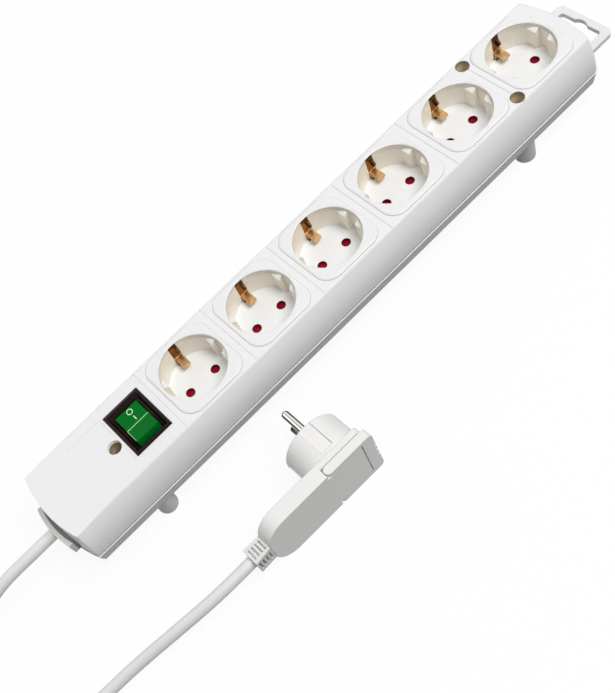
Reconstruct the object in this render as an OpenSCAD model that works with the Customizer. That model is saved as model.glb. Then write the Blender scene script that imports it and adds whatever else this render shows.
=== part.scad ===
// Six-way power strip with a lit rocker switch, a hanging eyelet and a plug with a folding bail.
// Millimetres. X runs from the cord end to the eyelet, Y across the strip, Z up from its feet.

/* [Body] */
// Length of the body along its middle line, without eyelet and cord bushing
body_l = 399.7; // [395:0.1:405]
// Width at the seam between the two halves
body_w = 57.2; // [56:0.2:60]
// Width of the flat top
top_w = 49.6; // [49:0.2:51]
// Height of the body from the base's underside to the flat top
body_h = 39; // [38.5:0.1:40]
// Height of the seam above the base's underside
seam_h = 12.5; // [12:0.1:13]
// Wall of both halves
wall = 2.2; // [2:0.1:2.4]
// How far the top falls away at the cord end
end_drop = 1.6; // [1.4:0.1:1.8]

/* [Sockets] */
// Distance from socket to socket
pitch = 51.6; // [51:0.1:52]
// Bore of a socket recess
recess_d = 39.5; // [39:0.1:39.8]
// Depth of a recess under its rim
recess_depth = 17.6; // [17:0.1:18]
// Distance between the two pin holes
pin_gap = 19; // [18.6:0.1:19.4]
// Bore of a pin hole
pin_hole_d = 5.5; // [5.2:0.1:5.8]
// Width of the groove between a pair of guide ribs
guide_groove = 8.2; // [8:0.1:8.6]

/* [Switch] */
// Middle of the switch, from the first socket
switch_back = 42.2; // [42:0.1:43]
// Frame across the strip's length
switch_l = 25.5; // [25:0.1:26]
// Frame across the strip's width
switch_w = 33; // [32.6:0.1:33.4]
// Rest tilt of the rocker to either side
rocker_tilt = 7.5; // [7:0.1:8]
// Rise of each rocker face from the middle line
rocker_vee = 9; // [8.5:0.1:9.5]

/* [Feet and wall holes] */
// Height of a foot
foot_h = 14; // [13:0.5:15]
// Diameter of a foot
foot_d = 12.4; // [12:0.1:12.8]
// Diameter of the wells in the top
well_d = 8.2; // [7.8:0.1:8.4]
// Bore for a wall screw
wall_hole_d = 4.6; // [4.4:0.1:4.8]

/* [Eyelet and cord bushing] */
// Reach of the eyelet beyond the body
eyelet_reach = 23; // [22.5:0.1:23.5]
// Width of the eyelet
eyelet_w = 38.6; // [38:0.1:39]
// Thickness of the eyelet
eyelet_t = 3; // [2.8:0.1:3.1]
// Reach of the bushing's lip beyond the body
lip_reach = 5.3; // [5:0.1:5.6]
// Width of the bushing's lip
lip_w = 31.6; // [31.2:0.1:32]

/* [Plug and cord] */
// Width of the plug's plate
plug_w = 38; // [37.6:0.1:38.4]
// Thickness of the plug's plate
plug_t = 9.6; // [9.4:0.1:9.8]
// Diameter of the plug's head
plug_head_d = 37.2; // [36.8:0.1:37.6]
// Diameter of a plug pin
pin_d = 4.8; // [4.7:0.05:4.9]
// Diameter of the cord
cord_d = 7; // [6.8:0.1:7.1]

/* [Hidden] */
$fn = 64;

// Levels, counted from the floor under the feet
base_z = foot_h;
floor_z = base_z + 2;
seam_z = base_z + seam_h;
seam_gap = 0.6;
top_z = base_z + body_h;
roof_z = top_z - 2.6;
rim_z = top_z + 1;
recess_z = rim_z - recess_depth;
cup_z = recess_z - 2;

// Plan of the body: a straight run closed by two shallow bows with rounded corners
near_x = -(lip_reach + body_l + eyelet_reach) / 2 + lip_reach;
far_x = near_x + body_l;
top_hw = top_w / 2;
flare = (body_w - top_w) / 2;
flare_r = (flare * flare + pow(top_z - seam_z, 2)) / (2 * flare);
near_bow = 80;
near_draft = 1.2;
far_bow = 88;
near_c = near_x + 0.7 + near_bow;
far_c = far_x - far_bow;
corner_r = 2;
corner_in = 0.966 * corner_r;
corner_y = top_hw - corner_in;
near_corner = near_c - sqrt(pow(near_bow - corner_in, 2) - corner_y * corner_y);
far_corner = far_c + sqrt(pow(far_bow - corner_in, 2) - corner_y * corner_y);
slope_x = near_x + 30.2;

// Places along the strip
first_x = near_x + 111.7;
socket_x = [for (i = [0:5]) first_x + pitch * i];
line_x = [for (i = [0:5]) first_x + pitch * (i - 0.5)];
switch_x = first_x - switch_back;
well_y = 20.3;
near_well = [near_x + 51.1, -2];
far_wells = [[line_x[5], -well_y], [line_x[5], well_y]];
foot_at = [[near_well[0], -well_y], [near_well[0], well_y], far_wells[0], far_wells[1]];
post_y = 20.5;
screw_at = [[near_x + 23.7, -19], [near_x + 23.7, 19], [line_x[1], -post_y], [line_x[1], post_y],
    [line_x[3], -post_y], [line_x[3], post_y], [far_x - 10.5, -17.5], [far_x - 10.5, 17.5]];
well_tube_r = well_d / 2 + 1.2;
seat_z = base_z + 7.6;
post_r = 3.75;
slot_w = 5.4;
cup_r = recess_d / 2 + 1.8;
pin_x = pin_gap / 2;
rib_x = recess_d / 2 - 3.35;

// Rocker switch
rocker_z = top_z - 4.4;
rocker_r = 11.8;
rocker_hx = 7.8;
rocker_pin_r = 1.2;
frame_low = base_z + 16.2;
tab_x = 5;
tab_y = 8;

// Cord clamp and cord exit
cord_z = seam_z + 3.5;
cord_r = cord_d / 2;
clamp_x = near_x + 16.7;
clamp_y = 9.5;
jacket_x = near_x + 20.7;
lip_bow = 60;
lip_low = cord_z - cord_r - 1.1;
lip_top = cord_z + cord_r + 1.1;

// Plug, lying on one side of its plate
plug_at = [near_x + 129.2, -85.2, plug_w / 2];
plug_hw = plug_w / 2;
bail_gap = 0.3;
bail_depth = 5.5;
bail_pivot = [-8, -plug_t + bail_depth / 2];
bail_tip = 20.5;
boot_x = -56.5;
boot_l = 11;
head_l = 21;
cord_y = -plug_t / 2;
pin_l = 19;
pin_root_r = 2;

coil_low = 4.7;
coil_reach = 27.3;
function climb(u) = u < 0 ? 0 : u > 1 ? 1 : u * u * (3 - 2 * u);

// Lead from the clamp to the coil, and tail from the coil to the plug
lead_path = concat([for (x = [jacket_x, -200, -214, -224, -234, -244]) [x, 0, cord_z]],
    [for (x = [-253:-9:-343]) [x, coil_reach * climb((-262 - x) / 90),
        cord_z - (cord_z - coil_low) * climb((-244 - x) / 76)]],
    [[-350, coil_reach, coil_low], [-356, coil_reach, coil_low]]);
tail_path = [[-356, -75.3, 12.3], [-349, -75.3, 12.3], [-339, -75.7, 11.4], [-328, -76.3, 9.2],
    [-316, -76.9, 6.6], [-304, -77.3, 4.8], [-291, -77.5, 4], [-276, -77.5, 3.8], [-262, -77.7, 3.9],
    [-248, -78.5, 4.9], [-234, -79.9, 7.2], [-220, -82.1, 10.2], [-206, -84.7, 13.3], [-192, -87.2, 16.2],
    [-178, -89.1, 18.1], [-166, -89.9, 18.9], [-157, -90, 19], [-146, -90, 19], [-136.2, -90, 19]];

// Coil: spirals inwards, climbs one layer on its inside and spirals out again
coil_c = [-363, -24];
coil_turns = 6.5;
coil_step = 7.6;
coil_in = 51.3 - coil_step * coil_turns / 2;
coil_end = 7;
coil_rings = 24;
coil_count = coil_turns * coil_rings;
function coil_point(t) =
    let (r = coil_in + coil_step * abs(t - coil_turns / 2), a = 90 + 360 * t)
    [coil_c[0] + r * cos(a), coil_c[1] + r * sin(a),
        coil_low + coil_step * climb(2 * (t - coil_turns / 2) + 0.5)];
coil_spiral = [for (i = [0:coil_count]) coil_point(i / coil_rings)];
coil_path = concat([coil_spiral[0] + [coil_end, 0, 0]], coil_spiral,
    [coil_spiral[coil_count] + [coil_end, 0, 0]]);
coil_gap = min([for (i = [0:coil_count - 12]) for (j = [i + 12:coil_count])
    norm(coil_spiral[i] - coil_spiral[j])]) - cord_d;
function path_length(p) = len(p) < 2 ? 0 : [for (i = 0, s = 0; i < len(p);
    s = s + (i < len(p) - 1 ? norm(p[i + 1] - p[i]) : 0), i = i + 1) s][len(p) - 1];
echo(coil_least_gap = coil_gap);
echo(lead = path_length(lead_path), coil = path_length(coil_path), tail = path_length(tail_path));

// Half of the upper section, from a sweep axis out to the flared wall; plug carries it past the top
module half_section(reach, inset, top, low, ease, plug = 0) {
    r = flare_r - inset;
    cx = reach + flare - flare_r;
    ex = cx + sqrt(r * r - pow(top - seam_z, 2));
    out = reach + flare + 1;
    mid = plug > 0 ? 0 : -1;
    intersection() {
        union() {
            translate([cx, seam_z]) circle(r, $fn = 180);
            if (low < seam_z)
                translate([mid, low - 1]) square([reach + flare - inset - mid, seam_z - low + 1]);
        }
        polygon([[mid, low], [out, low], [out, top - ease], [ex + 1, top - ease],
            [ex - 0.1 * ease, top - 0.5 * ease], [ex - 0.4 * ease, top - 0.15 * ease],
            [ex - ease, top], [ex - ease, top + plug + 0.01], [mid, top + plug + 0.01]]);
    }
}

// Half of the section through the cord end's nearly upright wall
module half_end(reach, inset, top, low, ease, plug) {
    rt = reach - inset;
    rs = rt + near_draft;
    re = rt + near_draft * ease / (top - seam_z);
    polygon([[0, low], [rs, low], [rs, seam_z], [re, top - ease], [rt - 0.1 * ease, top - 0.5 * ease],
        [rt - 0.4 * ease, top - 0.15 * ease], [rt - ease, top], [rt - ease, top + plug], [0, top + plug]]);
}

// Half of the base's section: a proud ledge at the seam, a leaning side and an eased lower edge
module half_base(reach, inset, top, plug = 0) {
    lean = 0.23;
    low = base_z + inset;
    rt = reach + flare + 0.6 - inset;
    rl = rt - (seam_z - low) * lean;
    mid = plug > 0 ? 0 : -1;
    polygon([[mid, low - plug], [rl - 2.6, low - plug], [rl - 2.6, low], [rl - 1.2, low + 0.4],
        [rl - 0.3, low + 1.4], [rl + 2.6 * lean, low + 2.6], [rt, seam_z], [rt, top], [mid, top]]);
}

// What lies beyond an outline turned about an upright axis, within a quarter or half plane
module beyond(at, size, z0, z1) {
    difference() {
        translate([at[0], at[1] - (size[1] > 40 ? size[1] / 2 : 0), z0]) cube([size[0], size[1], z1 - z0]);
        translate([at[0], at[1], 0]) rotate_extrude($fn = 180) children();
    }
}

// Long form: a section (child 0) trimmed by its far bow (1), near bow (2) and corners (3)
module long_form(z0, z1) {
    difference() {
        translate([near_x - 6, 0, 0]) rotate([90, 0, 90]) linear_extrude(body_l + 12) {
            children(0);
            mirror([1, 0]) children(0);
        }
        beyond([far_c, 0], [100, 80], z0, z1) children(1);
        mirror([1, 0, 0]) beyond([-near_c, 0], [100, 80], z0, z1) children(2);
        if ($children > 3) for (m = [0, 1]) mirror([0, m, 0]) {
            beyond([far_corner, corner_y], [30, 30], z0, z1) children(3);
            mirror([1, 0, 0]) beyond([-near_corner, corner_y], [30, 30], z0, z1) children(3);
        }
    }
}

// Falling top at the cord end, as the block above it
module end_fall(top) {
    translate([slope_x, 0, top]) rotate([0, -atan(end_drop / 30.2), 0])
        translate([-50, -40, 0]) cube([50, 80, 10]);
}

// Outline of the upper shell
module upper_form() {
    low = seam_z + seam_gap;
    difference() {
        long_form(low - 1, top_z + 2) {
            half_section(top_hw, 0, top_z, low, 1);
            half_section(far_bow, 0, top_z, low - 2, 1, 3);
            half_end(near_bow, 0, top_z, low - 2, 1, 3);
            half_section(corner_r, 0, top_z, low - 2, 1, 3);
        }
        end_fall(top_z);
    }
}

// The upper section set in from the outline, with plain corners
module inner_form(inset, top, low, ease) {
    long_form(low - 1, top + 2) {
        half_section(top_hw, inset, top, low, ease);
        half_section(far_bow, inset, top, low - 2, ease, 3);
        half_end(near_bow, inset, top, low - 2, ease, 3);
    }
}

// Outline of the base
module base_form() {
    long_form(base_z - 1, seam_z + 1) {
        half_base(top_hw, 0, seam_z);
        half_base(far_bow, 0, seam_z + 3, 3);
        half_base(near_bow - flare + near_draft, 0, seam_z + 3, 3);
        half_base(corner_r, 0, seam_z + 3, 3);
    }
}

// Hollow of the base
module base_hollow() {
    long_form(base_z - 1, seam_z + 2) {
        half_base(top_hw, wall - 0.2, seam_z + 1);
        half_base(far_bow, wall - 0.2, seam_z + 3, 3);
        half_base(near_bow - flare + near_draft, wall - 0.2, seam_z + 3, 3);
    }
}

// A post from one level to another
module post(at, r, low, high) {
    translate([at[0], at[1], low]) cylinder(r = r, h = high - low);
}

// Low pad with round corners and an eased upper edge, standing on z = 0
module soft_pad(l, w, r, h, ease) {
    for (x = [-1, 1]) for (y = [-1, 1]) translate([x * (l / 2 - r), y * (w / 2 - r), 0]) rotate_extrude() {
        square([r - ease, h]);
        square([r, h - ease]);
        translate([r - ease, h - ease]) circle(ease, $fn = 32);
    }
    translate([-l / 2, r - w / 2, 0]) cube([l, w - 2 * r, h - ease]);
    translate([r - l / 2, -w / 2, 0]) cube([l - 2 * r, w, h - ease]);
    translate([ease - l / 2, r - w / 2, 0]) cube([l - 2 * ease, w - 2 * r, h]);
    translate([r - l / 2, ease - w / 2, 0]) cube([l - 2 * r, w - 2 * ease, h]);
    for (s = [-1, 1]) {
        translate([s * (l / 2 - ease), w / 2 - r, h - ease]) rotate([90, 0, 0])
            cylinder(r = ease, h = w - 2 * r, $fn = 32);
        translate([r - l / 2, s * (w / 2 - ease), h - ease]) rotate([0, 90, 0])
            cylinder(r = ease, h = l - 2 * r, $fn = 32);
    }
}

// Ring cutter that rounds the upper rim of a hole
module rim_round(r, z, ease) {
    translate([0, 0, z - ease]) rotate_extrude() difference() {
        translate([r - 0.3, 0]) square([ease + 0.3, ease + 0.5]);
        translate([r + ease, 0]) circle(ease, $fn = 32);
    }
}

module upper_shell() {
    color("white") difference() {
        union() {
            difference() {
                upper_form();
                difference() {
                    inner_form(wall, roof_z, seam_z, 0.6);
                    end_fall(roof_z);
                }
            }
            intersection() {
                difference() {
                    inner_form(1, top_z - 1, seam_z - 5, 0.8);
                    end_fall(top_z - 1);
                }
                union() {
                    for (p = screw_at) post(p, post_r, seat_z + 0.4, top_z);
                    for (p = far_wells) post(p, well_tube_r, seat_z + 0.4, top_z);
                    post(near_well, well_tube_r, seat_z + 0.4, top_z);
                }
            }
            for (x = socket_x) translate([x, 0, top_z - 1.5]) soft_pad(44.4, 47.2, 10, 2.5, 1.6);
        }
        for (x = socket_x) translate([x, 0, 0]) {
            post([0, 0], recess_d / 2, roof_z - 1, rim_z + 1);
            rim_round(recess_d / 2, rim_z, 0.8);
            translate([-slot_w / 2, -21.3, roof_z - 1]) cube([slot_w, 42.6, 3.9]);
        }
        for (x = line_x) translate([x - 0.35, -24.2, top_z - 0.4]) cube([0.7, 48.4, 1]);
        translate([switch_x - 11, -15, roof_z - 1]) cube([22, 30, 6]);
        translate([slope_x + 0.6, -17.5, top_z - 0.25]) cube([24.2, 35, 1]);
        for (p = screw_at) post(p, 1.53, seat_z, seat_z + 13);
        for (p = far_wells) {
            post(p, well_d / 2, seat_z, top_z + 1);
            translate([p[0], p[1], 0]) rim_round(well_d / 2, top_z, 0.4);
        }
        post(near_well, well_d / 2, seat_z, top_z + 1);
        translate([near_well[0], near_well[1], 0]) rim_round(well_d / 2, top_z, 0.4);
        translate([near_x - 10, -lip_w / 2 - 0.2, base_z]) cube([16, lip_w + 0.4, lip_top + 0.2 - base_z]);
        translate([far_x - 8, -eyelet_w / 2 - 0.2, base_z]) cube([16, eyelet_w + 0.4, seam_z + 4.1 - base_z]);
    }
}

module base_shell() {
    color("gainsboro") difference() {
        union() {
            difference() {
                base_form();
                base_hollow();
            }
            difference() {
                inner_form(wall + 0.3, seam_z + 1.8, seam_z - 7, 0.4);
                inner_form(wall + 1.5, seam_z + 3, seam_z - 8, 0.4);
                for (p = far_wells) post(p, well_tube_r + 0.4, seat_z, top_z);
                translate([far_x - 8, -eyelet_w / 2 - 0.3, seam_z - 0.3]) cube([16, eyelet_w + 0.6, 5]);
            }
            for (p = foot_at) translate([p[0], p[1], 0]) rotate_extrude() {
                square([foot_d / 2 - 1.2, floor_z]);
                translate([0, 1.2]) square([foot_d / 2, floor_z - 1.2]);
                translate([foot_d / 2 - 1.2, 1.2]) circle(1.2, $fn = 32);
            }
            for (p = far_wells) post(p, well_tube_r, base_z + 1, seat_z);
            post(near_well, well_tube_r, base_z + 1, seat_z);
            for (p = screw_at) post(p, 4.6, base_z + 1, seat_z);
            for (s = [-1, 1]) {
                post([clamp_x, s * clamp_y], 3, base_z + 1, cord_z - 1);
                post([far_x - 3.4, s * 13], 2.8, base_z + 1, seam_z + 0.8);
                post([far_x - 3.4, s * 13], 1.9, base_z + 1, seam_z + 3.2);
            }
            translate([clamp_x - 3, -4, base_z + 1]) cube([6, 8, cord_z - cord_r - 0.2 - base_z - 1]);
            for (i = [1:5]) translate([line_x[i] - 1.5, 11.5, base_z + 1]) cube([3, 3, 10]);
        }
        for (p = far_wells) post(p, wall_hole_d / 2, -1, top_z);
        post(near_well, wall_hole_d / 2, base_z - 1, top_z);
        for (p = screw_at) {
            post(p, 3.3, base_z - 1, base_z + 4);
            post(p, 1.7, base_z - 1, top_z);
        }
        for (s = [-1, 1]) post([clamp_x, s * clamp_y], 1.28, floor_z + 1, top_z);
        translate([near_x - 10, -lip_w / 2 - 0.2, lip_low - 0.2]) cube([17.4, lip_w + 0.4, 20]);
    }
}

// Recess insert under one opening: well wall, pin holes, two pairs of guide ribs and earth clip slots
module socket_cup(i) {
    r = recess_d / 2;
    color("white") translate([socket_x[i], 0, 0]) {
        difference() {
            union() {
                difference() {
                    post([0, 0], cup_r, cup_z, roof_z);
                    post([0, 0], r, recess_z, roof_z + 1);
                }
                intersection() {
                    post([0, 0], r - 0.1, recess_z - 0.5, top_z);
                    for (s = [-1, 1]) translate([s * (rib_x + 5) - 5, -12, recess_z - 0.5]) difference() {
                        cube([10, 24, rim_z - 2.5 - recess_z + 0.5]);
                        translate([5 - s * 5, 0, rim_z - 2.5 - recess_z + 0.5]) rotate([0, 45, 0])
                            cube([3, 60, 3], center = true);
                    }
                }
                intersection() {
                    post([0, 0], r + 0.5, recess_z - 0.5, roof_z);
                    for (s = [-1, 1]) translate([s * (rib_x + 5) - 5, -12, recess_z - 0.5])
                        cube([10, 24, rim_z - 5 - recess_z]);
                }
            }
            for (s = [-1, 1]) {
                translate([s * 20 - 4, -guide_groove / 2, recess_z]) intersection() {
                    cube([8, guide_groove, 20]);
                    translate([4 - s * 20, guide_groove / 2, 0]) cylinder(r = r, h = 20);
                }
                post([s * pin_x, 0], pin_hole_d / 2, cup_z - 1, recess_z + 1);
                translate([s * pin_x, 0, 0]) rim_round(pin_hole_d / 2, recess_z, 0.4);
                translate([-slot_w / 2, s * 20.8 - 2.5, recess_z + 2]) cube([slot_w, 5, 20]);
                translate([-slot_w / 2, s * 18.9 - 1.3, cup_z - 1]) cube([slot_w, 2.6, 8.5]);
            }
        }
        post([0, 0], 1.5, cup_z - 3.7, cup_z + 0.5);
    }
}

// Safety shutter under one recess: a hub with a pad beneath each pin hole
module shutter(i) {
    color("firebrick") translate([socket_x[i], 0, cup_z - 3.3]) difference() {
        union() {
            cylinder(r = 4, h = 2.9);
            for (s = [-1, 1]) translate([s * pin_x, 0, 0]) cylinder(r = 3.6, h = 2.9);
            translate([-pin_x, -2.4, 0]) cube([2 * pin_x, 4.8, 2.4]);
        }
        translate([0, 0, -1]) cylinder(r = 1.55, h = 6);
    }
}

// Brass rail on edge with one spring fork for each socket; side is -1 for live and 1 for neutral
module fork_rail(side) {
    color("goldenrod") {
        translate([first_x - 18, side * 8 - 0.4, floor_z]) cube([5 * pitch + 36, 0.8, 7]);
        for (x = socket_x) translate([x + side * pin_x - 3, 0, floor_z]) {
            translate([0, min(-3.3, side * 8), 0]) cube([6, 11.3, 0.8]);
            for (s = [-1, 1]) translate([0, s * 2.9 - 0.4, 0]) cube([6, 0.8, 13.8]);
        }
    }
}

module live_rail() {
    fork_rail(-1);
}

module neutral_rail() {
    fork_rail(1);
}

// Earth bar with a strap under each recess; a riser at either end carries a sprung leaf and a side blade
module earth_rail() {
    z = base_z + 11;
    leaf = recess_z + 4.2;
    ear = rim_z - 7.7;
    color("darkgoldenrod") {
        translate([first_x - 18, 10.4, z]) cube([5 * pitch + 22, 4.4, 0.8]);
        for (x = socket_x) translate([x, 0, 0]) {
            translate([-2.5, -18.9, z]) cube([5, 37.8, 0.8]);
            for (s = [0, 1]) mirror([0, s, 0]) translate([2.5, 0, 0]) rotate([90, 0, -90]) linear_extrude(5)
                polygon([[-19, z], [-18.2, z], [-18.2, leaf], [-12.8, leaf - 0.3], [-12.5, leaf - 1.4],
                    [-11.7, leaf - 1.2], [-12.1, leaf + 0.5], [-19.9, leaf + 0.8], [-19.9, rim_z - 2.4],
                    [-20.7, rim_z - 2.4], [-20.7, leaf], [-19, leaf]]);
            for (s = [0, 1]) mirror([0, s, 0]) translate([2.4, 0, ear]) rotate([90, 0, -90]) linear_extrude(1.3)
                polygon([[-20.3, -2.6], [-19.7, -2.6], [-17.6, -0.8], [-17.6, 0.8], [-19.7, 2.6], [-20.3, 2.6]]);
        }
    }
}

// Tapered plate between two rectangles, drawn as the overlap of two prisms
module taper(x0, y0, z0, x1, y1, z1) {
    intersection() {
        translate([0, 60, 0]) rotate([90, 0, 0]) linear_extrude(120)
            polygon([[-x0, z0], [x0, z0], [x1, z1], [-x1, z1]]);
        translate([-60, 0, 0]) rotate([90, 0, 90]) linear_extrude(120)
            polygon([[-y0, z0], [y0, z0], [y1, z1], [-y1, z1]]);
    }
}

module switch_frame() {
    color("black") translate([switch_x, 0, 0]) difference() {
        union() {
            taper(switch_l / 2, switch_w / 2, top_z + 0.05, switch_l / 2 - 0.7, switch_w / 2 - 0.7, top_z + 1.2);
            translate([-10.9, -14.9, frame_low]) cube([21.8, 29.8, top_z + 0.2 - frame_low]);
        }
        taper(9.6, 12.1, top_z - 2.5, 11.6, 15.1, top_z + 1.3);
        taper(8.2, 12.1, rocker_z + 1.5, 9.6, 12.1, top_z - 2.4);
        translate([-8.2, -12.1, frame_low + 2.8]) cube([16.4, 24.2, rocker_z + 1.6 - frame_low - 2.8]);
        translate([-10.5, 0, rocker_z]) rotate([0, 90, 0]) cylinder(r = rocker_pin_r + 0.05, h = 21);
    }
}

module switch_rocker() {
    color("green") translate([switch_x, 0, rocker_z]) rotate([-rocker_tilt, 0, 0]) {
        translate([-rocker_hx, 0, 0]) rotate([90, 0, 90]) linear_extrude(2 * rocker_hx) intersection() {
            circle(rocker_r, $fn = 128);
            polygon([[-14, -6], [14, -6], [14, 2.8 + 14 * tan(rocker_vee)], [0, 2.8],
                [-14, 2.8 + 14 * tan(rocker_vee)]]);
        }
        translate([-10.4, 0, 0]) rotate([0, 90, 0]) cylinder(r = rocker_pin_r, h = 20.8);
    }
}

module switch_terminals() {
    color("silver") for (x = [-1, 1]) for (y = [-1, 1])
        translate([switch_x + x * tab_x - 2.4, y * tab_y - 0.4, frame_low - 8]) cube([4.8, 0.8, 8]);
}

// Glow lamp lying in the switch housing under the rocker
module switch_lamp() {
    color("orange") translate([switch_x - 3, 0, frame_low + 5]) rotate([0, 90, 0]) {
        cylinder(r = 2, h = 6);
        sphere(2);
        translate([0, 0, 6]) sphere(2);
    }
}

module hanging_eyelet() {
    hw = eyelet_w / 2;
    tip = far_x + eyelet_reach;
    bar = tip - 4.6;
    color("white") translate([0, 0, seam_z + 0.8]) linear_extrude(eyelet_t) difference() {
        union() {
            translate([far_x - 6.4, -hw]) square([eyelet_reach + 2.4, 2 * hw]);
            translate([far_x, 4 - hw]) square([eyelet_reach, 2 * hw - 8]);
            for (s = [-1, 1]) translate([tip - 4, s * (hw - 4)]) circle(4);
        }
        translate([far_x + 2, 2 - 14.3]) square([bar - far_x - 2, 24.6]);
        translate([far_x + 2, -14.3]) square([bar - far_x - 4, 28.6]);
        for (s = [-1, 1]) translate([bar - 2, s * 12.3]) circle(2);
        translate([bar - 4.7, 0]) circle(6.5);
        for (s = [-1, 1]) translate([far_x - 3.4, s * 13]) circle(2);
    }
}

// Bushing at the cord end: a bowed lip outside, a flange behind the wall and the cord's bore
module cord_bushing() {
    bow_x = near_x - lip_reach + lip_bow;
    low = lip_low;
    color("gainsboro") difference() {
        union() {
            intersection() {
                post([bow_x, 0], lip_bow, low, lip_top);
                translate([near_x - 10, -lip_w / 2, low]) cube([16, lip_w, 20]);
            }
            translate([near_x + 4.6, -lip_w / 2, low]) cube([2.4, lip_w, lip_top + 1.4 - low]);
        }
        translate([near_x - 20, 0, cord_z]) rotate([0, 90, 0]) cylinder(r = cord_r + 0.1, h = 40);
    }
}

module cord_clamp() {
    color("dimgray") difference() {
        translate([clamp_x - 3.5, -13, cord_z - 0.9]) cube([7, 26, 6.4]);
        translate([clamp_x - 10, 0, cord_z]) rotate([0, 90, 0]) cylinder(r = cord_r + 0.1, h = 20);
        translate([clamp_x - 10, -cord_r - 0.1, cord_z - 5]) cube([20, cord_d + 0.2, 5]);
        for (s = [-1, 1]) post([clamp_x, s * clamp_y], 1.4, floor_z, top_z);
    }
}

module clamp_screws() {
    color("silver") for (s = [-1, 1]) {
        post([clamp_x, s * clamp_y], 1.25, floor_z + 3, cord_z + 6);
        post([clamp_x, s * clamp_y], 2.4, cord_z + 5.5, cord_z + 7.2);
    }
}

module base_screws() {
    color("silver") for (p = screw_at) difference() {
        union() {
            post(p, 1.5, base_z + 3, seat_z + 11);
            post(p, 2.9, base_z + 1.6, base_z + 4);
        }
        translate([p[0] - 2, p[1] - 0.4, base_z]) cube([4, 0.8, 2.6]);
        translate([p[0] - 0.4, p[1] - 2, base_z]) cube([0.8, 4, 2.6]);
    }
}

// Round tube along a path of points
module tube(path, r, sides) {
    n = len(path);
    function along(i) = path[min(i + 1, n - 1)] - path[max(i - 1, 0)];
    function across(i) = let (c = cross(along(i), [0, 0, 1])) c / norm(c);
    function over(i) = let (c = cross(across(i), along(i))) c / norm(c);
    points = [for (i = [0:n - 1]) let (u = across(i), v = over(i)) for (j = [0:sides - 1])
        path[i] + r * (cos(360 * j / sides) * u + sin(360 * j / sides) * v)];
    faces = concat([[for (j = [0:sides - 1]) j]],
        [for (i = [0:n - 2]) for (j = [0:sides - 1]) let (k = (j + 1) % sides)
            [i * sides + j, (i + 1) * sides + j, (i + 1) * sides + k, i * sides + k]],
        [[for (j = [sides - 1:-1:0]) (n - 1) * sides + j]]);
    polyhedron(points, faces);
}

// Core from the cord to the switch, and from the switch to its rail
module pole_wires(side) {
    x0 = jacket_x + 0.3;
    xi = switch_x - tab_x - 2.7;
    xo = switch_x + tab_x + 2.7;
    z = frame_low - 5;
    y = side * tab_y;
    tube([[x0, side * 1.5, cord_z + 1], [x0 + 3, side * 1.5, cord_z + 1], [x0 + 10, side * 5, cord_z],
        [x0 + 18, side * 8.6 - 0.8, cord_z - 1], [x0 + 28, side * 9.6 - 0.8, z + 0.4],
        [xi - 4, y, z], [xi, y, z]], 1.2, 8);
    tube([[xo, y, z], [xo + 3, y, z], [xo + 8, y, z - 3], [first_x - 22, y, floor_z + 3.5],
        [first_x - 18.3, y, floor_z + 3.5]], 1.2, 8);
}

module live_wires() {
    color("saddlebrown") pole_wires(-1);
}

module neutral_wires() {
    color("royalblue") pole_wires(1);
}

module earth_wire() {
    x0 = jacket_x + 0.3;
    z = base_z + 11.4;
    color("yellowgreen") tube([[x0, 0, cord_z - 1.7], [x0 + 3, 0, cord_z - 1.7], [x0 + 10, 3.5, cord_z - 4],
        [x0 + 18, 8.5, base_z + 7], [x0 + 28, 12.4, base_z + 6], [switch_x - 4, 13.2, base_z + 6],
        [switch_x + 10, 13, z - 2], [first_x - 23, 12.6, z], [first_x - 18.3, 12.6, z]], 1.2, 8);
}

module plug_body() {
    r = plug_head_d / 2;
    color("whitesmoke") translate(plug_at) difference() {
        union() {
            rotate([90, 0, 0]) linear_extrude(plug_t) {
                translate([-42.5, -plug_hw]) square([57.5, plug_w]);
                translate([-42.5, 3 - plug_hw]) square([60.5, plug_w - 6]);
                translate([boot_x, -7]) square([20, 14]);
                for (s = [-1, 1]) {
                    translate([-42.5, s * (plug_hw - 14)]) circle(14);
                    translate([15, s * (plug_hw - 3)]) circle(3);
                }
            }
            rotate([-90, 0, 0]) rotate_extrude($fn = 96) {
                square([r - 1.5, head_l]);
                square([r, head_l - 1.5]);
                translate([r - 1.5, head_l - 1.5]) circle(1.5, $fn = 32);
            }
        }
        for (s = [-1, 1]) {
            translate([bail_pivot[0] - 3.1, -plug_t - 1, s * plug_hw - 3.3])
                cube([60, bail_depth + 1 + bail_gap, 6.6]);
            translate([bail_pivot[0], bail_pivot[1], s * (plug_hw - 4) - 3]) cylinder(r = 1.45, h = 6);
            translate([0, 13, s * pin_x]) rotate([-90, 0, 0]) cylinder(r = pin_root_r + 0.02, h = 20);
            translate([-4, 2.5, s * (r + 3.7) - 5]) cube([8, 30, 10]);
            translate([s * (r + 4.2) - 5, 4, -3.2]) cube([10, 15, 6.4]);
        }
        translate([12.7, -plug_t - 1, -30]) cube([20, bail_depth + 1 + bail_gap, 60]);
    }
}

module plug_pins() {
    color("silver") translate(plug_at) for (s = [-1, 1])
        translate([0, head_l, s * pin_x]) rotate([-90, 0, 0]) {
            translate([0, 0, -7.8]) cylinder(r = pin_root_r, h = 8);
            cylinder(r = pin_d / 2, h = pin_l - pin_d / 2);
            translate([0, 0, pin_l - pin_d / 2]) sphere(pin_d / 2);
        }
}

module plug_earth_strips() {
    color("silver") translate(plug_at) for (s = [-1, 1])
        translate([s * (plug_head_d / 2 - 0.45) - 0.3, 4.1, -3]) cube([0.6, 14.8, 6]);
}

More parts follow.
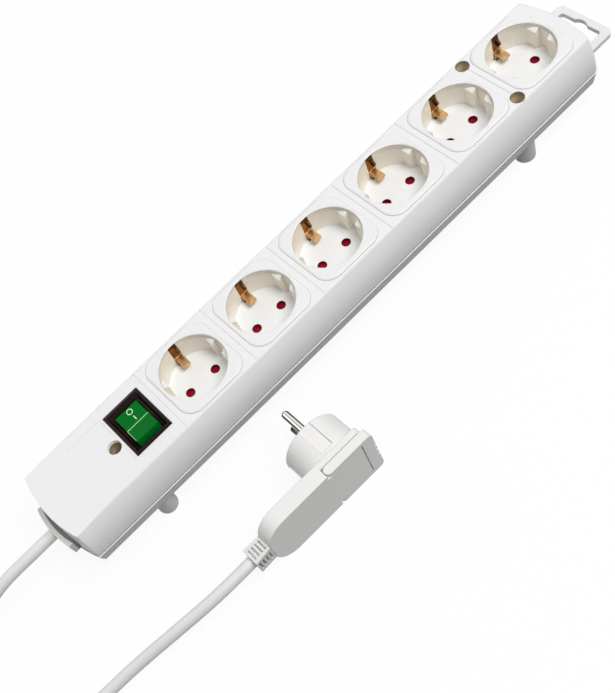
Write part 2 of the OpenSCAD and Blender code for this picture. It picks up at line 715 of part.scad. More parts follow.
// Folding bail: two arms on pivots and a grip bar with three notches
module plug_bail() {
    color("whitesmoke") translate(plug_at) difference() {
        union() {
            for (s = [-1, 1]) {
                translate([bail_pivot[0], -plug_t, s * (plug_hw - 1.55) - 1.45])
                    cube([bail_tip - 3 - bail_pivot[0], bail_depth, 2.9]);
                translate([bail_pivot[0], bail_pivot[1], s * (plug_hw - 1.55) - 1.45])
                    cylinder(r = bail_depth / 2, h = 2.9);
                translate([bail_pivot[0], bail_pivot[1], s * (plug_hw - 4) - 1.5]) cylinder(r = 1.4, h = 3);
            }
            rotate([90, 0, 0]) translate([0, 0, plug_t - bail_depth]) linear_extrude(bail_depth) {
                translate([13.2, -plug_hw + 0.1]) square([bail_tip - 16.2, plug_w - 0.2]);
                translate([13.2, 3.1 - plug_hw]) square([bail_tip - 13.2, plug_w - 6.2]);
                for (s = [-1, 1]) translate([bail_tip - 3, s * (plug_hw - 3.1)]) circle(3);
            }
        }
        for (z = [-5, 0, 5]) translate([bail_tip, -plug_t + bail_depth / 2, z]) rotate([90, 0, 0])
            cylinder(r = 1.2, h = 20, center = true, $fn = 32);
    }
}

// Strain relief between the plug's plate and the cord: a tapered block slotted across its four faces
module plug_boot() {
    color("whitesmoke") translate(plug_at) translate([boot_x - boot_l, cord_y, 0]) difference() {
        rotate([90, 0, 90]) taper(5.6, 5.9, 0, 4.7, 6.9, boot_l);
        translate([-1, 0, 0]) rotate([0, 90, 0]) cylinder(r = cord_r + 0.1, h = boot_l + 2);
        for (k = [0:3]) translate([1.3 + 2.4 * k, 0, 0]) for (s = [-1, 1]) {
            translate([0, -3.2, s * 6.4 - 2]) cube([1.1, 6.4, 4]);
            translate([0, s * 5 - 2, -3.8]) cube([1.1, 4, 7.6]);
        }
    }
}

module cord_lead() {
    color("whitesmoke") tube(lead_path, cord_r, 10);
}

module cord_coil() {
    color("whitesmoke") tube(coil_path, cord_r, 6);
}

module cord_tail() {
    color("whitesmoke") tube(tail_path, cord_r, 10);
}

// Strap closed round the coil on its far side
module coil_tie() {
    x = coil_c[0] - 57;
    color("dimgray") translate([x, coil_c[1] - 5, 0]) difference() {
        cube([35.6, 10, 17.6]);
        translate([0.9, -1, 0.9]) cube([33.8, 12, 15.8]);
    }
}

upper_shell();
base_shell();
socket_cup(0);  // socket_cup_1
socket_cup(1);  // socket_cup_2
socket_cup(2);  // socket_cup_3
socket_cup(3);  // socket_cup_4
socket_cup(4);  // socket_cup_5
socket_cup(5);  // socket_cup_6
shutter(0);  // shutter_1
shutter(1);  // shutter_2
shutter(2);  // shutter_3
shutter(3);  // shutter_4
shutter(4);  // shutter_5
shutter(5);  // shutter_6
live_rail();
neutral_rail();
earth_rail();
switch_frame();
switch_rocker();
switch_terminals();
switch_lamp();
hanging_eyelet();
cord_bushing();
cord_clamp();
clamp_screws();
base_screws();
live_wires();
neutral_wires();
earth_wire();
plug_body();
plug_pins();
plug_earth_strips();
plug_bail();
plug_boot();
cord_lead();
cord_coil();
cord_tail();
coil_tie();
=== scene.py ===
# A white six-way power strip with a green rocker switch, its cord and its flat plug, on a pale floor.
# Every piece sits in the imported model's own frame: metres, +X from the cord end to the eyelet, +Z up.
import math

import bmesh
import bpy
from mathutils import Matrix, Vector


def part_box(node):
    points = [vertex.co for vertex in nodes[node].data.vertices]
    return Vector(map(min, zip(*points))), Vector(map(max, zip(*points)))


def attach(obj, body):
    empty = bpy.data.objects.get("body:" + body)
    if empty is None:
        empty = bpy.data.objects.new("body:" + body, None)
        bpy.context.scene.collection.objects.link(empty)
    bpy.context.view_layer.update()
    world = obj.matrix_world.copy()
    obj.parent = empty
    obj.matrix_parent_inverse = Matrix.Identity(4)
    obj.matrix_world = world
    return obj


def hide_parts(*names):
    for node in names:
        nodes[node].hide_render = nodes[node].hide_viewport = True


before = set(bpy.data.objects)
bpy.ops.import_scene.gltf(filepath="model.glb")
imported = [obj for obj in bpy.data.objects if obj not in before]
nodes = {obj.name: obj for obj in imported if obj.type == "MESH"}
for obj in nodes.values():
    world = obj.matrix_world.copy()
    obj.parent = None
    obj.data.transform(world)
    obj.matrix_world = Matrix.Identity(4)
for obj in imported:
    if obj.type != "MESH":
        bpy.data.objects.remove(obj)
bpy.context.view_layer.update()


# The photograph looks down on the strip over its cord end, with the camera rolled so that the strip
# climbs from the lower left to the upper right. The lens shift stands for the picture's crop.
scene = bpy.context.scene
eye = Vector((-0.15713, -0.34053, 0.57245))
view_right = Vector((0.7165, -0.6173, -0.3248)).normalized()
view_up = Vector((0.6904, 0.5611, 0.4566))
view_back = view_right.cross(view_up).normalized()
view_up = view_back.cross(view_right).normalized()


def put_in_scene(name, data):
    """An object for the data, linked into the scene."""
    thing = bpy.data.objects.new(name, data)
    scene.collection.objects.link(thing)
    return thing


camera_data = bpy.data.cameras.new("photo_camera")
camera_data.sensor_width = 36.0
camera_data.lens = 59.84
camera_data.shift_x = 0.1692
camera_data.shift_y = 0.0175
camera_data.clip_start = 0.01
camera = put_in_scene("photo_camera", camera_data)
turn = Matrix((view_right, view_up, view_back)).transposed()
camera.matrix_world = Matrix.Translation(eye) @ turn.to_4x4()
scene.camera = camera


# The mains cord is 2 m of round white sheath, 7 mm thick. It leaves the bushing straight, sinks to the
# floor and is stored in a flat two-layer coil beside the strip; its other end climbs to the plug.
MM = 0.001
cord_diameter = 7.0 * MM
cord_level = 30
floor_level = 4.7
lead_straight = (-188, -200, -214, -224, -234, -244)
lead_bend = range(-253, -344, -9)
lead_end = -350
fall_start, fall_length = -244, 76
swing_start, swing_length = -262, 90
coil_reach = 27.15


def climb(u):
    """Smooth step from 0 to 1."""
    u = min(max(u, 0.0), 1.0)
    return u * u * (3 - 2 * u)


lead_points = [(x, 0, cord_level) for x in lead_straight]
for x in lead_bend:
    sideways = coil_reach * climb((swing_start - x) / swing_length)
    height = cord_level - (cord_level - floor_level) * climb((fall_start - x) / fall_length)
    lead_points.append((x, sideways, height))
lead_points.append((lead_end, coil_reach, floor_level))
tail_points = [
    (-349, -75.3, 12.3), (-339, -75.7, 11.4), (-328, -76.3, 9.2), (-316, -76.9, 6.6), (-304, -77.3, 4.8),
    (-291, -77.5, 4), (-276, -77.5, 3.8), (-262, -77.7, 3.9), (-248, -78.5, 4.9), (-234, -79.9, 7.2),
    (-220, -82.1, 10.2), (-206, -84.7, 13.3), (-192, -87.2, 16.2), (-178, -89.1, 18.1), (-166, -89.9, 18.9),
    (-157, -90, 19), (-146, -90, 19), (-136.2, -90, 19),
]
coil_middle = Vector((-363, -24))
coil_turns = 6.5
coil_step = 7.6
coil_outer = 51.15
coil_end = 7
layer_climb = 0.5
turn_points = 24
curve_steps = 3


def coil_point(t):
    """Point of the coil after t turns: inwards on the floor, up one layer, and out again."""
    half = coil_turns / 2
    radius = coil_outer - coil_step * half + coil_step * abs(t - half)
    angle = math.radians(90 + 360 * t)
    return (
        coil_middle.x + radius * math.cos(angle),
        coil_middle.y + radius * math.sin(angle),
        floor_level + coil_step * climb((t - half) / layer_climb + 0.5),
    )


coil_points = [coil_point(i / turn_points) for i in range(int(coil_turns * turn_points) + 1)]
first_x, first_y, first_z = coil_points[0]
last_x, last_y, last_z = coil_points[-1]
route = lead_points + [(first_x + coil_end, first_y, first_z)] + coil_points
route += [(last_x + coil_end, last_y, last_z)] + tail_points


def through(a, b, c, d, t):
    """Point between b and c on the smooth curve through four points."""
    return 0.5 * (
        2 * b + (c - a) * t + (2 * a - 5 * b + 4 * c - d) * t ** 2 + (3 * b - a - 3 * c + d) * t ** 3
    )


def smooth_line(points, steps):
    """The points with more of them on the smooth curve between."""
    line = [Vector(p) for p in points]
    dense = []
    for i in range(len(line) - 1):
        a = line[max(i - 1, 0)]
        d = line[min(i + 2, len(line) - 1)]
        for k in range(steps):
            dense.append(through(a, line[i], line[i + 1], d, k / steps))
    dense.append(line[-1])
    return dense


cord_line = [p * MM for p in smooth_line(route, curve_steps)]
cord_length = sum((b - a).length for a, b in zip(cord_line, cord_line[1:]))
cord_curve = bpy.data.curves.new("mains_cord", "CURVE")
cord_curve.dimensions = "3D"
cord_curve.bevel_depth = cord_diameter / 2
cord_curve.bevel_resolution = 7
cord_curve.use_fill_caps = True
cord_spline = cord_curve.splines.new("POLY")
cord_spline.points.add(len(cord_line) - 1)
for point, place in zip(cord_spline.points, cord_line):
    point.co = (*place, 1.0)
cord_spline.use_smooth = True
mains_cord = put_in_scene("mains_cord", cord_curve)


class Value:
    """A shader socket that can stand in a Python expression."""

    def __init__(self, graph, socket):
        self.graph = graph
        self.socket = socket

    def math(self, operation, first, second):
        return self.graph.node("ShaderNodeMath", {"operation": operation}, {0: first, 1: second})

    def __add__(self, other):
        return self.math("ADD", self, other)

    def __radd__(self, other):
        return self.math("ADD", other, self)

    def __sub__(self, other):
        return self.math("SUBTRACT", self, other)

    def __rsub__(self, other):
        return self.math("SUBTRACT", other, self)

    def __mul__(self, other):
        return self.math("MULTIPLY", self, other)

    def __rmul__(self, other):
        return self.math("MULTIPLY", other, self)

    def __abs__(self):
        return self.math("ABSOLUTE", self, 0.0)

    def at_most(self, limit):
        return self.math("MINIMUM", self, limit)

    def above(self, edge):
        return self.math("GREATER_THAN", self, edge)

    def below(self, edge):
        return self.math("LESS_THAN", self, edge)


class Graph:
    """A node tree whose nodes all come from one method."""

    def __init__(self, tree):
        self.tree = tree

    def node(self, kind, settings, sockets, out=0):
        made = self.tree.nodes.new(kind)
        for key, value in settings.items():
            setattr(made, key, value)
        for key, value in sockets.items():
            if isinstance(value, Value):
                self.tree.links.new(value.socket, made.inputs[key])
            else:
                made.inputs[key].default_value = value
        return Value(self, made.outputs[out])

    def show(self, output, shader):
        """Puts a shader on the tree's output node."""
        self.tree.links.new(shader.socket, self.tree.nodes[output].inputs["Surface"])


class Finish(Graph):
    """A material round one Principled shader."""

    def __init__(self, name, fixed):
        self.material = bpy.data.materials.new(name)
        self.material.use_nodes = True
        super().__init__(self.material.node_tree)
        self.shader = self.tree.nodes["Principled BSDF"]
        for socket, value in fixed.items():
            self.shader.inputs[socket].default_value = value

    def place(self):
        return self.node("ShaderNodeTexCoord", {}, {}, "Object")

    def along(self, axis):
        """Object coordinate on one axis, in millimetres."""
        return self.node("ShaderNodeSeparateXYZ", {}, {0: self.place()}, axis) * (1 / MM)

    def noise(self, scale, detail):
        return self.node("ShaderNodeTexNoise", {}, {"Vector": self.place(), "Scale": scale, "Detail": detail})

    def mix(self, factor, first, second):
        return self.node("ShaderNodeMix", {"data_type": "RGBA"}, {0: factor, 6: first, 7: second}, 2)

    def feed(self, socket, value):
        self.tree.links.new(value.socket, self.shader.inputs[socket])


def paint(red, green, blue):
    """Linear colour from the values that a screen shows, 0 to 255."""
    channels = []
    for value in (red, green, blue):
        share = value / 255
        channels.append(share / 12.92 if share <= 0.04045 else ((share + 0.055) / 1.055) ** 2.4)
    return (*channels, 1.0)


cloud_scale, cloud_detail = 28.0, 3.0
grain_scale, grain_detail = 1500.0, 2.0
grain_depth = 0.05 * MM
grain_gloss = 0.14
edge_samples = 6


def moulded(name, dark, light, roughness, grain, edge, specular=0.5):
    """Moulded plastic: faint clouds of tone, a fine spark-eroded grain, and edges softened by edge mm."""
    finish = Finish(name, {"Specular IOR Level": specular})
    finish.tone = finish.mix(finish.noise(cloud_scale, cloud_detail), dark, light)
    finish.feed("Base Color", finish.tone)
    fine = finish.noise(grain_scale, grain_detail)
    finish.feed("Roughness", roughness + grain_gloss * (fine - 0.5))
    soft = finish.node("ShaderNodeBevel", {"samples": edge_samples}, {"Radius": edge * MM})
    finish.normal = finish.node(
        "ShaderNodeBump", {}, {"Strength": grain, "Distance": grain_depth, "Height": fine, "Normal": soft}
    )
    finish.feed("Normal", finish.normal)
    return finish


sheath = moulded(
    "cord_sheath", paint(223, 222, 220), paint(233, 232, 230), roughness=0.42, grain=0.05, edge=0.05
)
cord_curve.materials.append(sheath.material)
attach(mains_cord, "housing")
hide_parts("cord_lead", "cord_coil", "cord_tail")


# A soft strap closed round the coil keeps it together. It is a band of dark woven hook-and-loop tape,
# wrapped once round the bundle and pressed shut on itself. The strap and the plug go with the cord.
strap_low_x, strap_high_x = -419.9, -384.5
strap_top = 17.5
strap_low = 0.05
strap_thick = 0.9
strap_ease = 0.2
strap_round = 4.0
strap_half = 5.0
strap_near, strap_far = coil_middle.y - strap_half, coil_middle.y + strap_half
strap_corner_steps = 8
strap_dark, strap_light = paint(38, 38, 40), paint(66, 66, 69)
weave_depth = 0.1 * MM


def rounded_loop(x0, x1, z0, z1, radius, steps):
    """Closed outline of a box with round corners, in the XZ plane."""
    corners = [
        (x1 - radius, z1 - radius, 0),
        (x0 + radius, z1 - radius, 90),
        (x0 + radius, z0 + radius, 180),
        (x1 - radius, z0 + radius, 270),
    ]
    loop = []
    for x, z, start in corners:
        for k in range(steps + 1):
            angle = math.radians(start + 90 * k / steps)
            loop.append((x + radius * math.cos(angle), z + radius * math.sin(angle)))
    return loop


def new_piece(name, mesh):
    """An object for a finished bmesh."""
    bmesh.ops.recalc_face_normals(mesh, faces=mesh.faces)
    data = bpy.data.meshes.new(name)
    mesh.to_mesh(data)
    mesh.free()
    return put_in_scene(name, data)


def loft(mesh, rings):
    """Joins closed rings of vertices, each to the next and the last to the first."""
    count = len(rings[0])
    for i, here in enumerate(rings):
        there = rings[(i + 1) % len(rings)]
        for k in range(count):
            n = (k + 1) % count
            mesh.faces.new((here[k], here[n], there[n], there[k]))


def strap_ring(mesh, inset, y):
    """One round of the strap, drawn in from its outside by inset, at y."""
    loop = rounded_loop(
        strap_low_x + inset,
        strap_high_x - inset,
        strap_low + inset,
        strap_top - inset,
        strap_round - inset,
        strap_corner_steps,
    )
    return [mesh.verts.new((x * MM, y * MM, z * MM)) for x, z in loop]


strap_mesh = bmesh.new()
strap_section = [
    (0, strap_near + strap_ease),
    (0, strap_far - strap_ease),
    (strap_ease, strap_far),
    (strap_thick - strap_ease, strap_far),
    (strap_thick, strap_far - strap_ease),
    (strap_thick, strap_near + strap_ease),
    (strap_thick - strap_ease, strap_near),
    (strap_ease, strap_near),
]
loft(strap_mesh, [strap_ring(strap_mesh, inset, y) for inset, y in strap_section])
coil_strap = new_piece("coil_strap", strap_mesh)
strap_finish = Finish("strap_weave", {"Roughness": 0.85, "Sheen Weight": 0.4})
weave = strap_finish.node(
    "ShaderNodeTexWave",
    {"wave_type": "BANDS", "bands_direction": "DIAGONAL"},
    {"Vector": strap_finish.place(), "Scale": 900.0, "Distortion": 1.5, "Detail": 2.0},
)
strap_finish.feed("Base Color", strap_finish.mix(weave, strap_dark, strap_light))
weave_bump = {"Strength": 0.6, "Distance": weave_depth, "Height": weave}
strap_finish.feed("Normal", strap_finish.node("ShaderNodeBump", {}, weave_bump))
coil_strap.data.materials.append(strap_finish.material)
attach(coil_strap, "housing")
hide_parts("coil_tie")


# The base is the lower half of the housing, a duller and greyer moulding with four round feet. Screws
# from below pull it up against the upper shell; a painted highlight gives its edge a pale line at the seam.
base_grey = moulded(
    "base_grey", paint(204, 203, 202), paint(213, 212, 211), roughness=0.5, grain=0.2, edge=0.12
)
seam = 26.5
seam_line = 0.3
seam_painted_highlight = paint(246, 245, 244)


def tint(finish, mask, colour):
    """Gives a moulding another colour where the mask is one."""
    finish.tone = finish.mix(mask, finish.tone, colour)
    finish.feed("Base Color", finish.tone)


def dress(finish, *names):
    """Gives the named CAD nodes a finish."""
    for name in names:
        slots = nodes[name].data.materials
        slots.clear()
        slots.append(finish.material)


tint(base_grey, base_grey.along("Z").above(seam - seam_line), seam_painted_highlight)
dress(base_grey, "base_shell")


# Stamped brass strip makes the live, neutral and earth rails. The earth clips rise into the recesses; a
# painted bright reflection lies on their leaves and a painted dark reflection on the upright blades above.
brass = Finish("stamped_brass", {"Metallic": 1.0})
brush_scale = (60.0, 2400.0, 2400.0)
leaf_streak_contrast = 2.0
leaf_top = 41.6
brass_roughness, brass_roughness_spread = 0.2, 0.25
brass_edge = 0.2 * MM
brushed = brass.node("ShaderNodeMapping", {}, {"Vector": brass.place(), "Scale": brush_scale})
streak = brass.node("ShaderNodeTexNoise", {}, {"Vector": brushed, "Scale": 1.0, "Detail": 3.0})
brass_mottle = brass.noise(scale=420.0, detail=4.0)
leaf_painted_reflection = brass.mix(streak * brass_mottle * leaf_streak_contrast, paint(186, 138, 84), paint(246, 208, 150))
blade_painted_reflection = brass.mix(brass_mottle, paint(40, 25, 13), paint(112, 74, 40))
brass.feed("Base Color", brass.mix(brass.along("Z").above(leaf_top), leaf_painted_reflection, blade_painted_reflection))
brass.feed("Roughness", brass_roughness + brass_roughness_spread * streak)
brass.feed("Normal", brass.node("ShaderNodeBevel", {"samples": 4}, {"Radius": brass_edge}))
dress(brass, "live_rail", "neutral_rail", "earth_rail")


# Three insulated cores run from the cord to the switch and on to the rails: brown, blue, and green with
# yellow stripes.
wire_brown = moulded(
    "wire_brown", paint(96, 58, 34), paint(112, 70, 42), roughness=0.4, grain=0.1, edge=0.1
)
dress(wire_brown, "live_wires")
wire_blue = moulded(
    "wire_blue", paint(40, 84, 168), paint(52, 98, 184), roughness=0.4, grain=0.1, edge=0.1
)
dress(wire_blue, "neutral_wires")
wire_earth = Finish("wire_green_yellow", {"Roughness": 0.4})
stripe = wire_earth.node(
    "ShaderNodeTexWave", {"bands_direction": "Y"}, {"Vector": wire_earth.place(), "Scale": 160.0}
)
wire_earth.feed("Base Color", wire_earth.mix(stripe.above(0.5), paint(60, 130, 50), paint(226, 206, 40)))
dress(wire_earth, "earth_wire")


# Inside the cord end a fibre clamp with two screws holds the sheath, and eight screws close the housing.
# The screws are zinc-plated steel.
clamp_grey = moulded(
    "clamp_grey", paint(84, 84, 86), paint(98, 98, 100), roughness=0.6, grain=0.3, edge=0.3
)
dress(clamp_grey, "cord_clamp")


def clouded(name, dark, light, scale, detail, fixed):
    """A finish whose tone wanders between two colours; its cloud is kept for the gloss."""
    finish = Finish(name, fixed)
    finish.cloud = finish.noise(scale, detail)
    finish.feed("Base Color", finish.mix(finish.cloud, dark, light))
    return finish


zinc = clouded(
    "zinc_screw", paint(176, 177, 180), paint(206, 207, 210), scale=700.0, detail=4.0, fixed={"Metallic": 1.0}
)
zinc_roughness, zinc_roughness_spread = 0.25, 0.2
zinc.feed("Roughness", zinc_roughness + zinc_roughness_spread * zinc.cloud)
dress(zinc, "clamp_screws", "base_screws")


# The hanging eyelet and the cord bushing are separate pale mouldings trapped between the two halves.
# The bushing's lip bows outwards, and all but its outer edge lies in the shell's shadow.
trim_white = moulded(
    "trim_white", paint(230, 229, 228), paint(237, 236, 235), roughness=0.42, grain=0.15, edge=0.4
)
lip_bow = 60.0
lip_bow_x = -154.0
lip_light = 2.6
lip_shadow = paint(124, 114, 111)
off_bow = trim_white.along("X") - lip_bow_x
off_line = trim_white.along("Y")
near_shell = (off_bow * off_bow + off_line * off_line).below((lip_bow - lip_light) ** 2)
tint(trim_white, near_shell, lip_shadow)
dress(trim_white, "hanging_eyelet", "cord_bushing")


# A deep red shutter turns under every recess and closes both pin holes until a plug pushes it aside.
# It is a small low-gloss moulding.
socket_count = 6
shutter_red = moulded(
    "shutter_red", paint(140, 6, 30), paint(164, 10, 40), roughness=0.3, grain=0.1, edge=0.3, specular=0.1
)
dress(shutter_red, *[f"shutter_{i}" for i in range(1, socket_count + 1)])


# Each socket has its own recess moulding: a round well with pin holes, two pairs of guide ribs and
# slots for the earth clips. Its floor is white; its wall carries painted warm bounce light, the ribs' upward
# faces a painted highlight, and the pin holes painted shade inside.
cup_white = moulded(
    "cup_white", paint(233, 234, 235), paint(238, 239, 240), roughness=0.42, grain=0.12, edge=0.35
)
recess_floor = 36.4
floor_clear = 0.15
hole_lip = 0.3
upward_share = 0.6
wall_painted_bounce = paint(248, 242, 229)
rib_painted_highlight = paint(253, 252, 250)
hole_painted_shade = paint(58, 40, 34)
cup_z = cup_white.along("Z")
above_floor = cup_z.above(recess_floor + floor_clear)
tint(cup_white, above_floor, wall_painted_bounce)
cup_facing = cup_white.node("ShaderNodeNewGeometry", {}, {}, "Normal")
cup_upwards = cup_white.node("ShaderNodeSeparateXYZ", {}, {0: cup_facing}, "Z")
tint(cup_white, above_floor * cup_upwards.above(upward_share), rib_painted_highlight)
tint(cup_white, cup_z.below(recess_floor - hole_lip), hole_painted_shade)
dress(cup_white, *[f"socket_cup_{i}" for i in range(1, socket_count + 1)])


# The upper shell is one satin white moulding with a raised field round every socket. Its curved walls
# flare down to a fine painted shadow at the seam; inside its openings painted warm bounce light tints it.
body_white = moulded(
    "body_white", paint(236, 235, 235), paint(241, 240, 240), roughness=0.42, grain=0.12, edge=0.25
)
shell_x, shell_y, shell_z = [body_white.along(axis) for axis in ("X", "Y", "Z")]
# Painted warm bounce light inside the round openings over the recesses
first_socket = -97.0
socket_pitch = 51.6
last_socket = first_socket + (socket_count - 1) * socket_pitch
recess_radius = 20.1
opening_top = 53.5
opening_painted_bounce = paint(232, 224, 208)
socket_share = (shell_x - first_socket) * (1 / socket_pitch) + 0.5
within_pitch = body_white.node("ShaderNodeMath", {"operation": "FRACT"}, {0: socket_share})
off_socket = (within_pitch - 0.5) * socket_pitch
in_recess = (off_socket * off_socket + shell_y * shell_y).below(recess_radius ** 2)
in_row = shell_x.above(first_socket - socket_pitch / 2) * shell_x.below(last_socket + socket_pitch / 2)
tint(body_white, in_recess * in_row * shell_z.below(opening_top), opening_painted_bounce)
# Painted shade in the wells for the wall screws, dark at the mouth and paler further down
well_radius = 4.6
well_shade_depth = 5.0
well_shade = paint(122, 104, 74)
far_well_painted_shade = paint(214, 198, 164)
near_well_painted_shade = paint(176, 158, 126)
wells = [(-157.6, -2.0, 50.2, near_well_painted_shade), (135.2, 20.3, 52.5, far_well_painted_shade), (135.2, -20.3, 52.5, far_well_painted_shade)]
for x, y, mouth, colour in wells:
    away_x = shell_x - x
    away_y = shell_y - y
    in_well = (away_x * away_x + away_y * away_y).below(well_radius ** 2)
    depth = (mouth - shell_z) * (1 / well_shade_depth)
    tint(body_white, in_well * shell_z.below(mouth), body_white.mix(depth, well_shade, colour))
# Painted shadow at the seam, and painted shade in fine lines along the edges of the raised fields
seam_shadow = 1.05
seam_painted_shadow = paint(128, 123, 122)
tint(body_white, shell_z.below(seam + seam_shadow), seam_painted_shadow)
top_level = 53.0
step_foot = 0.06
step_line = 0.45
step_painted_shade = paint(206, 204, 204)
on_step = shell_z.above(top_level + step_foot) * shell_z.below(top_level + step_line)
tint(body_white, on_step, step_painted_shade)
# The walls' swell, as the light shows it
wall_middle = 32.0
wall_bulge = 48.0
wall_top = 52.4
off_middle = shell_z.at_most(wall_top) - wall_middle
wall_height = off_middle * off_middle * (-0.5 / wall_bulge)
bulge = {"Distance": MM, "Height": wall_height, "Normal": body_white.normal}
body_white.feed("Normal", body_white.node("ShaderNodeBump", {}, bulge))
dress(body_white, "upper_shell")


# The switch is a snap-in unit: a glossy near-black frame with sloping inner sides, plated tabs below and
# a small glow lamp under the rocker. A painted highlight runs as a fine paler line where the frame's flat rim
# turns inwards.
frame_black = moulded(
    "switch_black", paint(22, 8, 11), paint(32, 14, 17), roughness=0.3, grain=0.08, edge=0.25, specular=0.13
)
frame_low, frame_high = [Vector(corner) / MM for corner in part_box("switch_frame")]
frame_middle = (frame_low + frame_high) / 2
frame_half = (frame_high - frame_low) / 2
rim_line = 1.45
rim_line_end = 1.68
rim_painted_highlight = paint(104, 82, 86)
frame_in_x = frame_half.x - abs(frame_black.along("X") - frame_middle.x)
frame_in_y = frame_half.y - abs(frame_black.along("Y") - frame_middle.y)
frame_in = frame_in_x.at_most(frame_in_y)
tint(frame_black, frame_in.above(rim_line) * frame_in.below(rim_line_end), rim_painted_highlight)
dress(frame_black, "switch_frame")
tab_metal = clouded(
    "plated_tab", paint(172, 168, 160), paint(204, 200, 192), scale=600.0, detail=3.0, fixed={"Metallic": 1.0}
)
tab_roughness, tab_roughness_spread = 0.28, 0.15
tab_metal.feed("Roughness", tab_roughness + tab_roughness_spread * tab_metal.cloud)
dress(tab_metal, "switch_terminals")
clear_glass = {"Transmission Weight": 0.8, "IOR": 1.45}
lamp_glass = clouded(
    "lamp_glass", paint(250, 214, 170), paint(255, 232, 200), scale=300.0, detail=2.0, fixed=clear_glass
)
glass_roughness, glass_roughness_spread = 0.05, 0.05
lamp_glass.feed("Roughness", glass_roughness + glass_roughness_spread * lamp_glass.cloud)
dress(lamp_glass, "switch_lamp")


# The rocker is a clear green moulding that glows when lit. Its two faces meet in a shallow valley, and
# the pressed half carries a ring and a bar for off and on.
rocker_green = moulded(
    "rocker_green", paint(0, 100, 30), paint(0, 119, 38), roughness=0.24, grain=0.05, edge=0.25, specular=0.07
)
dress(rocker_green, "switch_rocker")
rocker_pivot = Vector((-139.2, 0, 48.6)) * MM
rocker_tilt = math.radians(-7.5)
rocker_vee = math.radians(9)
valley_height = 2.8 * MM
valley = Matrix.Translation(rocker_pivot) @ Matrix.Rotation(rocker_tilt, 4, "X")
valley = valley @ Matrix.Translation((0, 0, valley_height))
pressed_face = valley @ Matrix.Rotation(rocker_vee, 4, "X")
raised_face = valley @ Matrix.Rotation(-rocker_vee, 4, "X")
mark_rise = 0.1
mark_sink = 0.2
mark_ease = 0.05
mark_ease_steps = 2


def flat_ring(name, at, outer, inner, middle, steps):
    """A thin flat ring with eased edges on a rocker face; at carries face coordinates to the frame."""
    mesh = bmesh.new()
    section = [
        (outer, -mark_sink),
        (outer, mark_rise - mark_ease),
        (outer - mark_ease, mark_rise),
        (inner + mark_ease, mark_rise),
        (inner, mark_rise - mark_ease),
        (inner, -mark_sink),
    ]
    rings = []
    for radius, height in section:
        ring = []
        for k in range(steps):
            angle = 2 * math.pi * k / steps
            spot = Vector((radius * math.cos(angle), radius * math.sin(angle), height)) + middle
            ring.append(mesh.verts.new(at @ (spot * MM)))
        rings.append(ring)
    loft(mesh, rings)
    return new_piece(name, mesh)


def flat_bar(name, at, x_ends, y_ends):
    """A thin bar with eased edges on a rocker face, between its ends in x and in y."""
    x0, x1 = x_ends
    y0, y1 = y_ends
    size = Vector((x1 - x0, y1 - y0, mark_rise + mark_sink))
    middle = Vector(((x0 + x1) / 2, (y0 + y1) / 2, (mark_rise - mark_sink) / 2))
    mesh = bmesh.new()
    bmesh.ops.create_cube(mesh, size=1.0)
    for vert in mesh.verts:
        vert.co = vert.co * size + middle
    bmesh.ops.bevel(mesh, geom=mesh.edges[:], offset=mark_ease, segments=mark_ease_steps, affect="EDGES")
    for vert in mesh.verts:
        vert.co = at @ (vert.co * MM)
    return new_piece(name, mesh)


mark_finish = clouded(
    "mark_pale_green",
    paint(206, 240, 186),
    paint(222, 250, 204),
    scale=900.0,
    detail=2.0,
    fixed={"Roughness": 0.4},
)
# The pale green strips along the valley and along the raised half's outer edge are painted highlights.
highlight_strip_finish = clouded(
    "valley_painted_highlight_green",
    paint(132, 214, 134),
    paint(160, 232, 156),
    scale=900.0,
    detail=2.0,
    fixed={"Roughness": 0.3},
)
ring_middle = Vector((0.8, 8.3, 0))
off_ring = flat_ring("mark_off_ring", pressed_face, outer=1.9, inner=1.4, middle=ring_middle, steps=48)
on_bar = flat_bar("mark_on_bar", pressed_face, x_ends=(0.5, 1.1), y_ends=(1.9, 4.9))
valley_highlight_strip = flat_bar("valley_highlight_strip", valley, x_ends=(-7.7, 7.7), y_ends=(-0.3, 0.3))
edge_highlight_strip = flat_bar("raised_edge_highlight_strip", raised_face, x_ends=(-7.8, -7.45), y_ends=(-10.4, -0.2))
marks = [(off_ring, mark_finish), (on_bar, mark_finish), (valley_highlight_strip, highlight_strip_finish), (edge_highlight_strip, highlight_strip_finish)]
for piece, finish in marks:
    piece.data.materials.append(finish.material)
    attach(piece, "rocker")


# The plug is a flat right-angle moulding: a plate with a round head on its front, two plated pins, earth
# strips let into the head, a bail that folds out behind and a ribbed sleeve for the cord.
plug_white = moulded(
    "plug_white", paint(234, 233, 231), paint(241, 240, 238), roughness=0.4, grain=0.15, edge=0.9
)
dress(plug_white, "plug_body", "plug_bail")
boot_white = moulded(
    "boot_white", paint(222, 221, 219), paint(230, 229, 227), roughness=0.5, grain=0.08, edge=0.3
)
dress(boot_white, "plug_boot")
# The pins and earth strips carry painted reflections: long dark and light streaks along their length.
nickel = Finish("nickel_painted_reflections", {"Metallic": 1.0})
reflection_streak_scale = (900.0, 9.0, 900.0)
reflection_streak_contrast = 7.0
painted_reflection_dark, painted_reflection_light = paint(58, 56, 54), paint(236, 234, 231)
nickel_roughness, nickel_roughness_spread = 0.08, 0.08
reflection_coords = nickel.node("ShaderNodeMapping", {}, {"Vector": nickel.place(), "Scale": reflection_streak_scale})
reflection_streak = nickel.node("ShaderNodeTexNoise", {}, {"Vector": reflection_coords, "Scale": 1.0, "Detail": 1.0})
reflection_share = (reflection_streak - 0.5) * reflection_streak_contrast + 0.5
nickel.feed("Base Color", nickel.mix(reflection_share, painted_reflection_dark, painted_reflection_light))
nickel.feed("Roughness", nickel_roughness + nickel_roughness_spread * reflection_streak)
dress(nickel, "plug_pins", "plug_earth_strips")


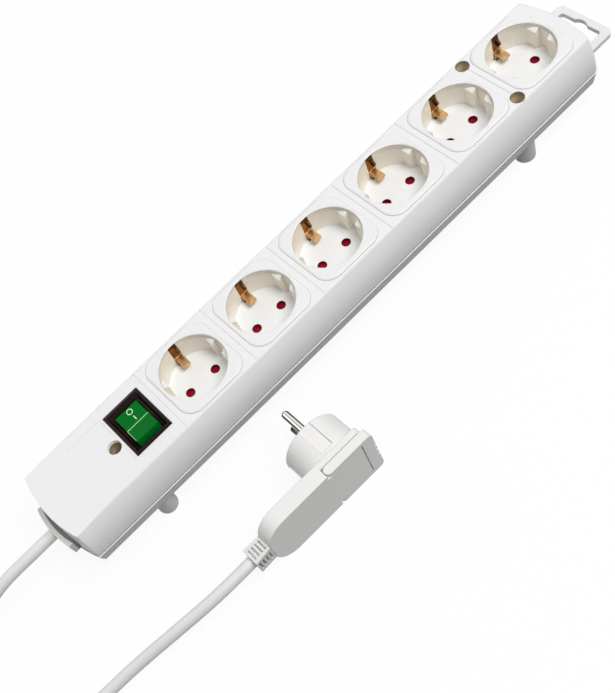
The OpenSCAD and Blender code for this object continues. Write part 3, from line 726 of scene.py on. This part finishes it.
# Pale studio floor and soft light: a wide lamp high in front, a weaker one behind at the cord's end, and
# an even white room. The floor shows white to the camera and keeps a faint shadow.
floor_size = 8.0
floor_glow = 0.92
white = (1.0, 1.0, 1.0, 1.0)
bounce_grey = (0.2, 0.2, 0.2, 1.0)
shown_grey = (0.95, 0.95, 0.95, 1.0)
room_light = 0.25
room_shown = 0.95
lamp_aim = Vector((0.0, 0.0, 0.0))
bpy.ops.mesh.primitive_plane_add(size=floor_size)
floor = bpy.context.object
floor.name = "studio_floor"


def reaches_eye(graph):
    """One on the rays that the camera sees itself, in a mirror or through glass."""
    seen = graph.node("ShaderNodeLightPath", {}, {}, "Is Camera Ray")
    for kind in ("Is Glossy Ray", "Is Transmission Ray"):
        seen = seen.math("MAXIMUM", seen, graph.node("ShaderNodeLightPath", {}, {}, kind))
    return seen


floor_finish = Finish("floor_white", {"Roughness": 0.9})
floor_seen = reaches_eye(floor_finish)
floor_finish.feed("Base Color", floor_finish.mix(floor_seen, bounce_grey, shown_grey))
floor_lit = Value(floor_finish, floor_finish.shader.outputs[0])
floor_white = floor_finish.node("ShaderNodeEmission", {}, {"Color": white, "Strength": 1.0})
floor_parts = {0: floor_seen * floor_glow, 1: floor_lit, 2: floor_white}
floor_finish.show("Material Output", floor_finish.node("ShaderNodeMixShader", {}, floor_parts))
floor.data.materials.append(floor_finish.material)


def soft_lamp(name, place, size, watts):
    """A square soft lamp that faces the strip."""
    data = bpy.data.lights.new(name, "AREA")
    data.size = size
    data.energy = watts
    lamp = put_in_scene(name, data)
    lamp.location = place
    lamp.rotation_euler = (lamp_aim - Vector(place)).to_track_quat("-Z", "Y").to_euler()


soft_lamp("key_lamp", place=(0.55, -0.7, 2.0), size=1.1, watts=35.5)
soft_lamp("left_lamp", place=(-0.75, 1.0, 0.9), size=0.9, watts=4.5)
world = bpy.data.worlds.new("studio_room")
world.use_nodes = True
scene.world = world
room = Graph(world.node_tree)
room_lit = room.node("ShaderNodeBackground", {}, {"Color": white, "Strength": room_light})
room_white = room.node("ShaderNodeBackground", {}, {"Color": white, "Strength": room_shown})
room_parts = {0: reaches_eye(room), 1: room_lit, 2: room_white}
room.show("World Output", room.node("ShaderNodeMixShader", {}, room_parts))
scene.view_settings.view_transform = "Standard"
